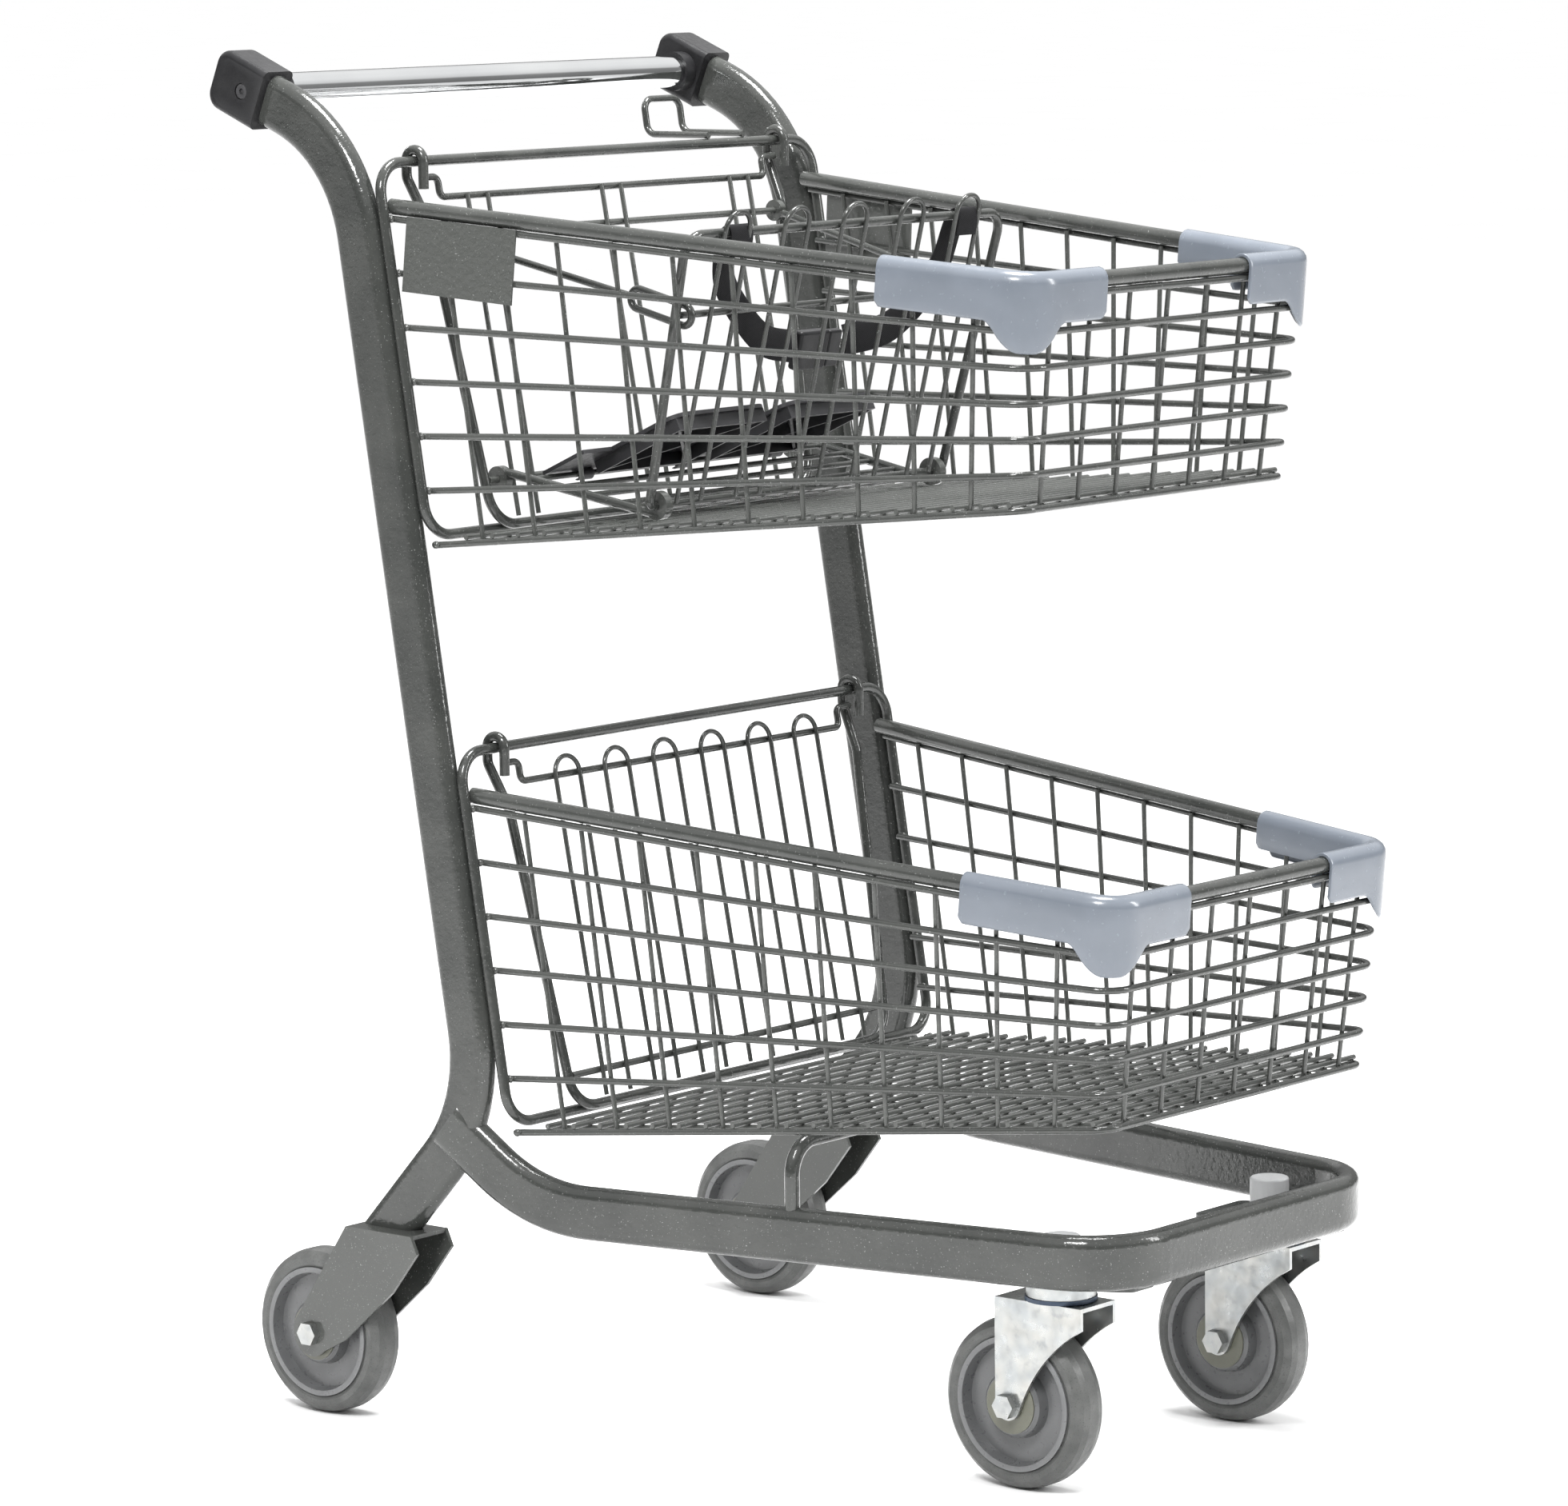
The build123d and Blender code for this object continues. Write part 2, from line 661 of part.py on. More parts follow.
# ------------------------------------------------------------------- the gates
gate_back = hoop_d / 2 + gate_d / 2 + 0.6      # gate rod to the axis of its crossbar
bar_x = post_at(hoop_z)
gate_bottom_z = hoop_z - gate_bottom_drop
rest_gap = 0.3
gate_bottom_x = post_at(gate_bottom_z) + hoop_d / 2 + gate_d / 2 + rest_gap
gate_tilt = math.atan2(gate_bottom_x - bar_x, gate_bottom_drop)


def gate_x(z):
    """X of the gate's plane, which hangs from the crossbar, at height z."""
    return bar_x + (hoop_z - z) * math.tan(gate_tilt)


def gate_y(z):
    """Half width of the gate's outer frame at height z."""
    return gate_top_y + (gate_bottom_y - gate_top_y) * (hoop_z - z) / gate_bottom_drop


def gate_frame():
    """One rod: hooks over the crossbar, both sides and the bottom bar."""
    high = hoop_z + gate_back
    rear_x = bar_x - gate_back
    front_x_hook = bar_x + gate_back
    low_z = hoop_z - 46.0
    side = [(front_x_hook, gate_top_y, hoop_z - hook_tail), (front_x_hook, gate_top_y, high)]
    side += [(rear_x, gate_top_y, high), (rear_x, gate_top_y, hoop_z - 12.0)]
    side += [(gate_x(low_z), gate_y(low_z), low_z)]
    side += [(gate_bottom_x, gate_bottom_y, gate_bottom_z), (gate_bottom_x, 0, gate_bottom_z)]
    radii = [gate_back - 0.02, gate_back - 0.02, 12.0, 20.0, gate_corner_r]
    half = rod(side, radii, gate_d / 2)
    return half + mirrored(half)


def yoke_points(drop, end_y):
    """Half of the cross wire under the crossbar, with its raised end."""
    z = hoop_z - drop
    step = 15.0
    inner_y = end_y - 16.0
    x = gate_x(z)
    return [(x, 0, z), (x, inner_y, z), (gate_x(z + step), inner_y, z + step),
            (gate_x(z + step), end_y, z + step)]


def yoke():
    end_y = gate_y(hoop_z - yoke_drop + 15.0) - gate_d / 2 - cross_gap
    half = rod(yoke_points(yoke_drop, end_y), 5.0, yoke_d / 2)
    return half + mirrored(half)


def in_front(z, clearance):
    """A point's X just in front of the gate's plane."""
    return gate_x(z) + clearance / math.cos(gate_tilt)


def hairpin(y, gap, top_z, drop_z, step):
    """A thin bent wire, two legs joined by a loop above the cross wire."""
    loop = top_z + 14.0
    points = [(in_front(drop_z, step), y - gap / 2, drop_z), (in_front(loop, step), y - gap / 2, loop)]
    points += [(in_front(loop, step), y + gap / 2, loop), (in_front(drop_z, step), y + gap / 2, drop_z)]
    return rod(points, gap / 2 - 0.05, gate_wire_d / 2)


cross_gap = 0.35       # square ends of cross wires against the sloping sides
wire_step = yoke_d / 2 + gate_wire_d / 2 + weld_gap
cross_drop = gate_bottom_drop - 24.0


def gate_cross(drop):
    """A straight cross wire between the sides of the gate."""
    z = hoop_z - drop
    y = gate_y(z) - gate_d / 2 - cross_gap
    return bar((gate_x(z), -y, z), (gate_x(z), y, z), yoke_d / 2)


def lower_gate_wires():
    wires = [yoke(), gate_cross(cross_drop)]
    pitch = 55.5
    for index in range(6):
        y = (index - 2.5) * pitch
        wires.append(hairpin(y, 27.0, hoop_z - yoke_drop, gate_bottom_z + 6.0, wire_step))
    return group(wires)


def upper_gate_wires():
    """Three pairs of wires leave room for the eyes of the seat."""
    wires = [yoke(), gate_cross(hoop_z - arm_rear_z), gate_cross(hoop_z - seat_pivot_z)]
    for y in (-150.0, 0.0, 150.0):
        for side in (-11.0, 11.0):
            top = hoop_z - yoke_drop + 2.0
            low = gate_bottom_z + 6.0
            start = (in_front(top, wire_step), y + side, top)
            wires.append(bar(start, (in_front(low, wire_step), y + side, low), gate_wire_d / 2))
    return group(wires)


def eye(x, y, z, wire_r, hole_r, width):
    """A coil eye about the Y direction."""
    ring = Cylinder(hole_r + 2 * wire_r, width, rotation=(90, 0, 0))
    hole = Cylinder(hole_r, width + 2, rotation=(90, 0, 0))
    return Pos(x, y, z) * (ring - hole)


# ------------------------------------------------------------- the child seat
eye_play = 0.08
pan_rear = (gate_x(seat_pivot_z), seat_pivot_z)
pan_eye_y = gate_y(seat_pivot_z) - 17.0


def pan_arm(y_rear, y_front):
    """Side wire of the pan with an eye on the gate and one on the seat back."""
    hole = yoke_d / 2 + eye_play
    rear = eye(pan_rear[0], y_rear, pan_rear[1], pan_d / 2, hole, pan_d)
    front_hole = back_d / 2 + eye_play
    front = eye(pan_reach_x, y_front, pan_reach_z, pan_d / 2, front_hole, pan_d)
    start = (pan_rear[0], y_rear, pan_rear[1] + hole + pan_d / 2)
    end = (pan_reach_x, y_front, pan_reach_z - front_hole - pan_d / 2)
    middle = bar(start, end, pan_d / 2)
    bores = Pos(pan_rear[0], y_rear, pan_rear[1]) * Cylinder(hole, 20, rotation=(90, 0, 0))
    bores += Pos(pan_reach_x, y_front, pan_reach_z) * Cylinder(front_hole, 20, rotation=(90, 0, 0))
    return rear + middle + front - bores


def seat_pan():
    left = pan_arm(pan_eye_y, pan_y)
    body = left + mirrored(left)
    count = 5
    for index in range(count):
        share = 0.2 + 0.72 * index / (count - 1)
        x = pan_rear[0] + (pan_reach_x - pan_rear[0]) * share
        y = pan_eye_y + (pan_y - pan_eye_y) * share
        rear_z = pan_rear[1] + yoke_d / 2 + pan_d / 2
        front_z = pan_reach_z - back_d / 2 - pan_d / 2
        z = rear_z + (front_z - rear_z) * share
        body = body + bar((x, -y, z), (x, y, z), 2.2)
    return largest(body)


def seat_back_frame():
    """The bent frame of the seat back and its cross bars."""
    eye_y = back_foot_y
    lean_x = (back_top_x - pan_reach_x) / (back_top_z - pan_reach_z)
    points = [(pan_reach_x, 0, pan_reach_z), (pan_reach_x, eye_y, pan_reach_z)]
    points += [(back_top_x, back_top_y, back_top_z), (back_top_x, 0, back_top_z)]
    half = rod(points, [6.0, 16.0], back_d / 2)
    x = pan_reach_x + lean_x * (arm_front_z - pan_reach_z)
    y = eye_y + (back_top_y - eye_y) * (arm_front_z - pan_reach_z) / (back_top_z - pan_reach_z)
    cross = bar((x, -y, arm_front_z), (x, y, arm_front_z), 2.6)
    return half + mirrored(half) + cross


back_foot_y = pan_y + pan_d / 2 + 7.0
back_lean = (back_top_x - pan_reach_x) / (back_top_z - pan_reach_z)
back_angle = math.atan(back_lean)


def back_x(z):
    """X of the seat back's plane at height z."""
    return pan_reach_x + back_lean * (z - pan_reach_z)


def back_y(z):
    share = (z - pan_reach_z) / (back_top_z - pan_reach_z)
    return back_foot_y + (back_top_y - back_foot_y) * share


def seat_back_wires():
    """Five thin hairpins on the front of the seat back."""
    step = (back_d / 2 + gate_wire_d / 2 + weld_gap) / math.cos(back_angle)
    low = pan_reach_z + 1.0
    high = back_top_z + 15.0
    gap = 27.0
    wires = []
    for index in range(5):
        y = (index - 2) * 67.0
        points = [(back_x(low) + step, y - gap / 2, low), (back_x(high) + step, y - gap / 2, high)]
        points += [(back_x(high) + step, y + gap / 2, high), (back_x(low) + step, y + gap / 2, low)]
        wires.append(rod(points, gap / 2 - 0.05, gate_wire_d / 2))
    return group(wires)


arm_rear = (gate_x(arm_rear_z), gate_y(arm_rear_z) - gate_d / 2 - arm_d / 2 - 2.0, arm_rear_z)
arm_front = (back_x(arm_front_z), back_y(arm_front_z) - back_d / 2 - arm_d / 2 - 2.0, arm_front_z)
cross_r = 2.6
slot_play = 2.0


def seat_arm():
    """Side arm: an eye on the gate and a long slot round the seat back's bar."""
    hole = yoke_d / 2 + eye_play
    rear = eye(*arm_rear, arm_d / 2, hole, arm_d)
    along = Vector(arm_front[0] - arm_rear[0], 0, arm_front[2] - arm_rear[2]).normalized()
    middle_r = cross_r + slot_play + arm_d / 2
    slot_at = Vector(*arm_front) - along * (slot_run / 2 - slot_play / 2)
    plane = Plane(origin=slot_at, x_dir=along, z_dir=(0, 1, 0))
    loop = SlotOverall(slot_run + 2 * middle_r, 2 * middle_r)
    path = (plane * loop).wire()
    start = Plane(origin=path @ 0, z_dir=path % 0)
    ring = sweep(start * Circle(arm_d / 2), path=path)
    join = slot_at - along * (slot_run / 2 + middle_r)
    start_at = Vector(*arm_rear) + along * (hole + arm_d / 2)
    return largest(rear + bar(start_at, join, arm_d / 2) + ring)


flap_hinge_share = 0.2
flap_rest = 24.0


def pan_point(share):
    """Centre of the cross wire that lies this far along the pan."""
    rear_z = pan_rear[1] + yoke_d / 2 + pan_d / 2
    front_z = pan_reach_z - back_d / 2 - pan_d / 2
    x = pan_rear[0] + (pan_reach_x - pan_rear[0]) * share
    y = pan_eye_y + (pan_y - pan_eye_y) * share
    return (x, y, rear_z + (front_z - rear_z) * share)


def seat_flap():
    """Moulded flap: clips on the pan's rear wire, ribs and two front lobes."""
    thick = 3.0
    full = 300.0
    lobe_wide = 108.0
    lobe_y = 64.0
    deep_rear = 44.0
    deep = 112.0
    hinge = pan_point(flap_hinge_share)
    wire_r = 2.2
    clip_r = wire_r + 0.12
    base = Pos(deep_rear / 2, 0, 0) * Box(deep_rear, full, thick)
    for side in (-1, 1):
        lobe = Pos(deep / 2, side * lobe_y, 0) * Box(deep, lobe_wide, thick)
        front = lobe.edges().filter_by(Axis.Z).sort_by(Axis.X)[-2:]
        base += fillet(front, 14.0)
        rim_box = Pos(deep / 2 + 8, side * lobe_y, -6.0) * Box(deep - 24, lobe_wide - 8, 10.0)
        core = Pos(deep / 2 + 8, side * lobe_y, -6.0) * Box(deep - 29, lobe_wide - 13, 12.0)
        base += rim_box - core
        diagonal = math.degrees(math.atan2(lobe_wide - 12, deep - 28))
        for turn in (-diagonal, diagonal):
            rib = Box(math.hypot(lobe_wide - 13, deep - 29), 2.2, 9.0)
            base += Pos(deep / 2 + 8, side * lobe_y, -5.5) * Rot(0, 0, turn) * rib
    drop = -(thick / 2 + clip_r + 0.6)
    body = base
    for y in (-110.0, 0.0, 110.0):
        clip = Pos(3.0, y, drop) * Cylinder(clip_r + 2.4, 14.0, rotation=(90, 0, 0))
        web = Pos(3.0, y, drop / 2) * Box(6.0, 14.0, -drop)
        body += clip + web
    for y in (-110.0, 0.0, 110.0):
        body -= Pos(3.0, y, drop) * Cylinder(clip_r, 20.0, rotation=(90, 0, 0))
        body -= Pos(3.0 - clip_r - 2, y, drop - 1) * Box(2 * clip_r + 4, 20.0, 2 * wire_r - 0.6)
    turned_body = Rot(0, -flap_rest, 0) * (Pos(-3.0, 0, -drop) * body)
    return largest(Pos(hinge[0], 0, hinge[2]) * turned_body)


strap_wide = 25.0
strap_thick = 1.6
strap_back = 9.0       # straps hang this far behind the seat back's plane


def strap_plane_point(y, z):
    return Vector(back_x(z) - strap_back, y, z)


def strap(points):
    """A flat belt along (y, z) points behind the seat back."""
    out = Vector(math.cos(back_angle), 0, -math.sin(back_angle))
    belt = None
    for (y0, z0), (y1, z1) in zip(points, points[1:]):
        a = strap_plane_point(y0, z0)
        b = strap_plane_point(y1, z1)
        run = b - a
        plane = Plane(origin=(a + b) / 2, x_dir=run, z_dir=out)
        piece = plane * Box(run.length + strap_wide * 0.3, strap_wide, strap_thick)
        belt = piece if belt is None else belt + piece
    return largest(belt)


buckle_y = 0.0
buckle_z = 795.0


def seat_straps():
    """The two belts, from the top bar of the seat back to the buckle."""
    top = back_top_z - 8.0
    right = strap([(-134.0 + 24.0, top), (-86.0, 835.0), (-36.0, buckle_z + 8.0)])
    left = strap([(134.0 - 24.0, top), (90.0, 838.0), (36.0, buckle_z + 8.0)])
    return Compound(children=[right, left])


def buckle():
    """Side-release buckle, socket and plug."""
    out = Vector(math.cos(back_angle), 0, -math.sin(back_angle))
    plane = Plane(origin=strap_plane_point(buckle_y, buckle_z), x_dir=(0, 1, 0), z_dir=out)
    shell = plane * Pos(-8.0, 0, 0) * Box(34.0, 30.0, 9.0)
    shell = fillet(shell.edges(), 2.5)
    plug = plane * Pos(17.0, 0, 0) * Box(15.0, 28.0, 7.0)
    plug = fillet(plug.edges(), 2.0)
    return Compound(children=[largest(shell), largest(plug)])


# --------------------------------------------------------------- write it out
right_cap = handle_cap()
left_bumper = bumper()
front_end = left_bumper.bounding_box().max.X + tier_shift[0]
middle_x = (right_cap.bounding_box().min.X + front_end) / 2


def both_tiers(shape, name):
    save(shape, "upper_" + name)
    save(Pos(*tier_shift) * shape, "lower_" + name)


right_upright = upright()
save(right_upright, "upright_right")
save(mirrored(right_upright), "upright_left")
save(base_loop(), "base_loop")
save(basket_support(), "basket_support")
both_tiers(hoop(), "hoop")
both_tiers(rim(), "rim")
both_tiers(rows(), "basket_rows")
both_tiers(stays(), "basket_stays")
both_tiers(floor_cross(), "floor_cross_wires")
both_tiers(floor_long(), "floor_long_wires")
save(pair(corner_plate()), "corner_plates")

both_tiers(left_bumper, "bumper_left")
both_tiers(mirrored(left_bumper), "bumper_right")

save(handle_bar(), "handle_bar")
save(right_cap, "handle_cap_right")
save(mirrored(right_cap), "handle_cap_left")
save(pair(cap_bolt()), "cap_bolts")
save(bag_hook(), "bag_hook")

rear_axles = []
for side, word in ((-1, "right"), (1, "left")):
    rear = (0, side * rear_y, wheel_d / 2)
    front = (front_x, side * front_y, wheel_d / 2)
    save(rear_fork(side), "rear_fork_" + word)
    save(tyre(rear), "rear_tyre_" + word)
    save(hub(rear), "rear_hub_" + word)
    save(bush(rear), "rear_bush_" + word)
    save(caster_fork(side), "caster_fork_" + word)
    save(tyre(front), "front_tyre_" + word)
    save(hub(front), "front_hub_" + word)
    save(bush(front), "front_bush_" + word)
    save(Compound(children=axle(front)), "front_axle_" + word)
    rear_axles.extend(axle(rear))
save(Compound(children=rear_axles), "rear_axles")
save(pair(caster_head(1)), "caster_heads")
save(pair(stem_cap(1)), "stem_caps")
save(pair(swivel_seal(1)), "swivel_seals")

frame_of_gate = gate_frame()
save(frame_of_gate, "upper_gate_frame")
save(Pos(*tier_shift) * frame_of_gate, "lower_gate_frame")
save(upper_gate_wires(), "upper_gate_wires")
save(Pos(*tier_shift) * lower_gate_wires(), "lower_gate_wires")

save(seat_pan(), "seat_pan")
save(seat_back_frame(), "seat_back_frame")
save(seat_back_wires(), "seat_back_wires")
save(pair(seat_arm()), "seat_arms")
save(seat_flap(), "seat_flap")
save(seat_straps(), "seat_straps")
save(buckle(), "buckle")
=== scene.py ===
import json
import math

import bmesh
import bpy
from mathutils import Matrix, Vector

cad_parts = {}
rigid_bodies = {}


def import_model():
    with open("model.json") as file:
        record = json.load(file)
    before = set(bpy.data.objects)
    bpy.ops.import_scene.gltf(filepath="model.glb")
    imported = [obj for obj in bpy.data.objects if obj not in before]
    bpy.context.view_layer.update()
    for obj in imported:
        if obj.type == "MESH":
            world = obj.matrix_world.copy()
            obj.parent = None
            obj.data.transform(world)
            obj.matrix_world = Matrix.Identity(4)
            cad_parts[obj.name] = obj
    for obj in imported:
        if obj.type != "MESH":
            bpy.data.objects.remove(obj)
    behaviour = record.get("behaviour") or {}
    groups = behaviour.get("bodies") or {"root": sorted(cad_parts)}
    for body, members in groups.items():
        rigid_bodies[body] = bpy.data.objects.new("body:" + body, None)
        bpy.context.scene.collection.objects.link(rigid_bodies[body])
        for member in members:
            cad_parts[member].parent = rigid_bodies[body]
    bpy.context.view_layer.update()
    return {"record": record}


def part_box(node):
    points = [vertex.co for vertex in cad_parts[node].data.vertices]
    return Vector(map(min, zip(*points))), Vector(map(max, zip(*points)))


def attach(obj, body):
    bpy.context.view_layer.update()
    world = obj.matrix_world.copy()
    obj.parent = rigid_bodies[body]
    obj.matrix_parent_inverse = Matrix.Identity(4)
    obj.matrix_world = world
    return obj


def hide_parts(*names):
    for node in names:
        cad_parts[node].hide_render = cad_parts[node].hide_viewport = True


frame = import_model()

MM = 0.001
PAINT = (0.045, 0.047, 0.044)       # dark grey of the frame
HEAD_PAINT = (0.045, 0.048, 0.046)  # the same paint on the casters' plates
CUP_DEEP = 0.0136                   # fork's top to the underside of the plate
RIM_RADIUS = 6.0 * MM

# Plastic guards on the corners of the rims
GUARD_SIDE = 119.0 * MM    # along the side of the rim
GUARD_FRONT = 78.0 * MM    # along the front of the rim
GUARD_BEND = 22.0 * MM
GUARD_RADIUS = 7.7 * MM    # middle of the wall, round the rim
GUARD_WALL = 2.4 * MM
GUARD_OUTSIDE = 27.0 * MM  # drop of the outer skirt
GUARD_INSIDE = 19.0 * MM   # drop of the inner skirt
LOBE_DEEP = 21.0 * MM      # the lobe hangs this much lower
LOBE_TIP = 4.0 * MM
LOBE_FADE = 25.0 * MM
END_TUCK = 4.0 * MM
END_ROUND = 5.0 * MM

# Belts of the child seat
SEAT_BAR_RADIUS = 3.5 * MM
BELT_HALF = 12.0 * MM
BELT_WALL = 1.5 * MM
BELT_CUP = 1.2 * MM
TWIST_FROM = 22            # row where a belt starts to turn toward the buckle
TWIST_ROWS = 14

# Weld lumps at the baskets' rear posts
WIRE_RADIUS = 2.5 * MM
ROW_SPACES = 6
LEAN = 0.1607              # the posts lean back by this much per unit of height
POST_REACH = 8.0 * MM
BEAD_BACK = 2.0 * MM
BEAD_OUT = 2.6 * MM
BEAD_SIZE = (3.4 * MM, 2.2 * MM, 3.0 * MM)

# Studio and camera
FLOOR_RADIUS = 90.0
FLOOR_DROP = 0.0004
SENSOR = 36.0
PHOTO_WIDTH = 1960
FOCAL_PIXELS = 8001.4
CAMERA_PLACE = (2.9911, -3.6607, 1.1321)
CAMERA_TURN = (39.78, 7.68, -0.78)   # azimuth, elevation, roll in degrees


# ---------------------------------------------------------------- materials
def new_material(name, base, rough, metallic=0.0, coat=0.0, coat_rough=0.1):
    """A Principled material with its constant values on the shader itself."""
    material = bpy.data.materials.new(name)
    material.use_nodes = True
    shader = material.node_tree.nodes["Principled BSDF"]
    shader.inputs["Base Color"].default_value = (*base, 1.0)
    shader.inputs["Roughness"].default_value = rough
    shader.inputs["Metallic"].default_value = metallic
    shader.inputs["Coat Weight"].default_value = coat
    shader.inputs["Coat Roughness"].default_value = coat_rough
    return material


def noise(material, scale, detail=3.0, stretch=(1.0, 1.0, 1.0)):
    """Noise in object space; scale is in features per metre."""
    tree = material.node_tree
    coords = tree.nodes.new("ShaderNodeTexCoord")
    mapping = tree.nodes.new("ShaderNodeMapping")
    mapping.inputs["Scale"].default_value = stretch
    texture = tree.nodes.new("ShaderNodeTexNoise")
    texture.inputs["Scale"].default_value = scale
    texture.inputs["Detail"].default_value = detail
    tree.links.new(coords.outputs["Object"], mapping.inputs["Vector"])
    tree.links.new(mapping.outputs["Vector"], texture.inputs["Vector"])
    return texture.outputs["Fac"]


def ramp(material, source, low, high, colour_a, colour_b):
    tree = material.node_tree
    node = tree.nodes.new("ShaderNodeValToRGB")
    node.color_ramp.elements[0].position = low
    node.color_ramp.elements[1].position = high
    node.color_ramp.elements[0].color = (*colour_a, 1.0)
    node.color_ramp.elements[1].color = (*colour_b, 1.0)
    tree.links.new(source, node.inputs["Fac"])
    return node.outputs["Color"]


def spread(material, source, low, high):
    """Map a 0-1 value onto a range."""
    tree = material.node_tree
    node = tree.nodes.new("ShaderNodeMapRange")
    node.inputs["From Min"].default_value = 0.3
    node.inputs["From Max"].default_value = 0.7
    node.inputs["To Min"].default_value = low
    node.inputs["To Max"].default_value = high
    tree.links.new(source, node.inputs["Value"])
    return node.outputs["Result"]


def mix(material, factor, a, b):
    tree = material.node_tree
    node = tree.nodes.new("ShaderNodeMix")
    node.data_type = "RGBA"
    tree.links.new(factor, node.inputs["Factor"])
    for socket, value in ((node.inputs[6], a), (node.inputs[7], b)):
        if isinstance(value, tuple):
            socket.default_value = (*value, 1.0)
        else:
            tree.links.new(value, socket)
    return node.outputs[2]


def bump(material, source, strength, distance):
    tree = material.node_tree
    shader = tree.nodes["Principled BSDF"]
    node = tree.nodes.new("ShaderNodeBump")
    node.inputs["Strength"].default_value = strength
    node.inputs["Distance"].default_value = distance
    tree.links.new(source, node.inputs["Height"])
    if shader.inputs["Normal"].is_linked:
        tree.links.new(shader.inputs["Normal"].links[0].from_socket, node.inputs["Normal"])
    tree.links.new(node.outputs["Normal"], shader.inputs["Normal"])


def to_shader(material, source, socket):
    tree = material.node_tree
    tree.links.new(source, tree.nodes["Principled BSDF"].inputs[socket])


def edges(material, sharp_low, sharp_high):
    """1 on convex edges, 0 on flat faces."""
    tree = material.node_tree
    geometry = tree.nodes.new("ShaderNodeNewGeometry")
    sharp = geometry.outputs["Pointiness"]
    return ramp(material, sharp, sharp_low, sharp_high, (0, 0, 0), (1, 1, 1))


def powder_coat():
    """Dark grey powder coat: orange peel, fine sparkle, cloudy tone, painted highlight on convex
    edges.
    """
    m = new_material("powder_coat_grey", PAINT, 0.20, metallic=0.05)
    cloud = ramp(m, noise(m, 22.0), 0.35, 0.65, (0.030, 0.032, 0.030), (0.044, 0.046, 0.043))
    sparkle = ramp(m, noise(m, 820.0, 1.0), 0.69, 0.76, (0.0, 0.0, 0.0), (1.0, 1.0, 1.0))
    # paler colour on convex edges is a painted highlight, not wear
    painted_edge_highlight = mix(m, edges(m, 0.54, 0.64), cloud, (0.062, 0.065, 0.061))
    to_shader(m, mix(m, sparkle, painted_edge_highlight, (0.17, 0.175, 0.17)), "Base Color")
    to_shader(m, spread(m, noise(m, 420.0, 2.0), 0.10, 0.20), "Roughness")
    bump(m, noise(m, 230.0, 2.0), 0.35, 0.0008)
    bump(m, noise(m, 700.0, 1.0), 0.15, 0.0003)
    return m


def chrome():
    m = new_material("chrome_plate", (0.62, 0.63, 0.64), 0.09, metallic=1.0)
    to_shader(m, spread(m, noise(m, 60.0, 4.0, (1.0, 0.15, 1.0)), 0.05, 0.14), "Roughness")
    tone = ramp(m, noise(m, 9.0), 0.3, 0.7, (0.56, 0.57, 0.58), (0.66, 0.67, 0.67))
    to_shader(m, tone, "Base Color")
    bump(m, noise(m, 500.0, 2.0, (1.0, 0.1, 1.0)), 0.05, 0.0003)
    return m


def moulded(name, dark, light, rough_low, rough_high, grain, depth, coat=0.0, shine=0.5):
    """Moulded plastic: cloudy tone, fine grain and paler convex edges."""
    m = new_material(name, light, rough_high, coat=coat, coat_rough=0.15)
    m.node_tree.nodes["Principled BSDF"].inputs["Specular IOR Level"].default_value = shine
    tone = ramp(m, noise(m, 30.0), 0.35, 0.65, dark, light)
    # colour is made paler on convex edges
    pale_edge = tuple(min(1.0, c * 1.35 + 0.015) for c in light)
    to_shader(m, mix(m, edges(m, 0.56, 0.68), tone, pale_edge), "Base Color")
    to_shader(m, spread(m, noise(m, 240.0, 3.0), rough_low, rough_high), "Roughness")
    bump(m, noise(m, grain, 2.0), 0.3, depth)
    return m


def zinc():
    """Bright zinc plate: bluish and yellowish clouds, rubbed dull in places."""
    m = new_material("zinc_plate", (0.58, 0.59, 0.58), 0.32, metallic=0.95)
    cloud = ramp(m, noise(m, 55.0, 5.0), 0.35, 0.65, (0.34, 0.355, 0.36), (0.42, 0.418, 0.40))
    worn = ramp(m, noise(m, 130.0, 4.0), 0.55, 0.72, (0.0, 0.0, 0.0), (1.0, 1.0, 1.0))
    to_shader(m, mix(m, worn, cloud, (0.31, 0.32, 0.32)), "Base Color")
    to_shader(m, spread(m, noise(m, 90.0, 5.0), 0.22, 0.46), "Roughness")
    bump(m, noise(m, 700.0, 3.0, (1.0, 1.0, 0.25)), 0.25, 0.0003)
    return m


def tread():
    """Grey tread: dusty clouds, fine pits and small scuffs."""
    m = new_material("tread_grey", (0.07, 0.072, 0.070), 0.45)
    dust = ramp(m, noise(m, 70.0, 5.0), 0.35, 0.7, (0.056, 0.058, 0.056), (0.088, 0.090, 0.087))
    pits = ramp(m, noise(m, 900.0, 2.0), 0.58, 0.70, (0.0, 0.0, 0.0), (1.0, 1.0, 1.0))
    to_shader(m, mix(m, pits, dust, (0.045, 0.046, 0.045)), "Base Color")
    to_shader(m, spread(m, noise(m, 200.0, 4.0), 0.30, 0.52), "Roughness")
    bump(m, noise(m, 800.0, 3.0), 0.4, 0.0004)
    return m


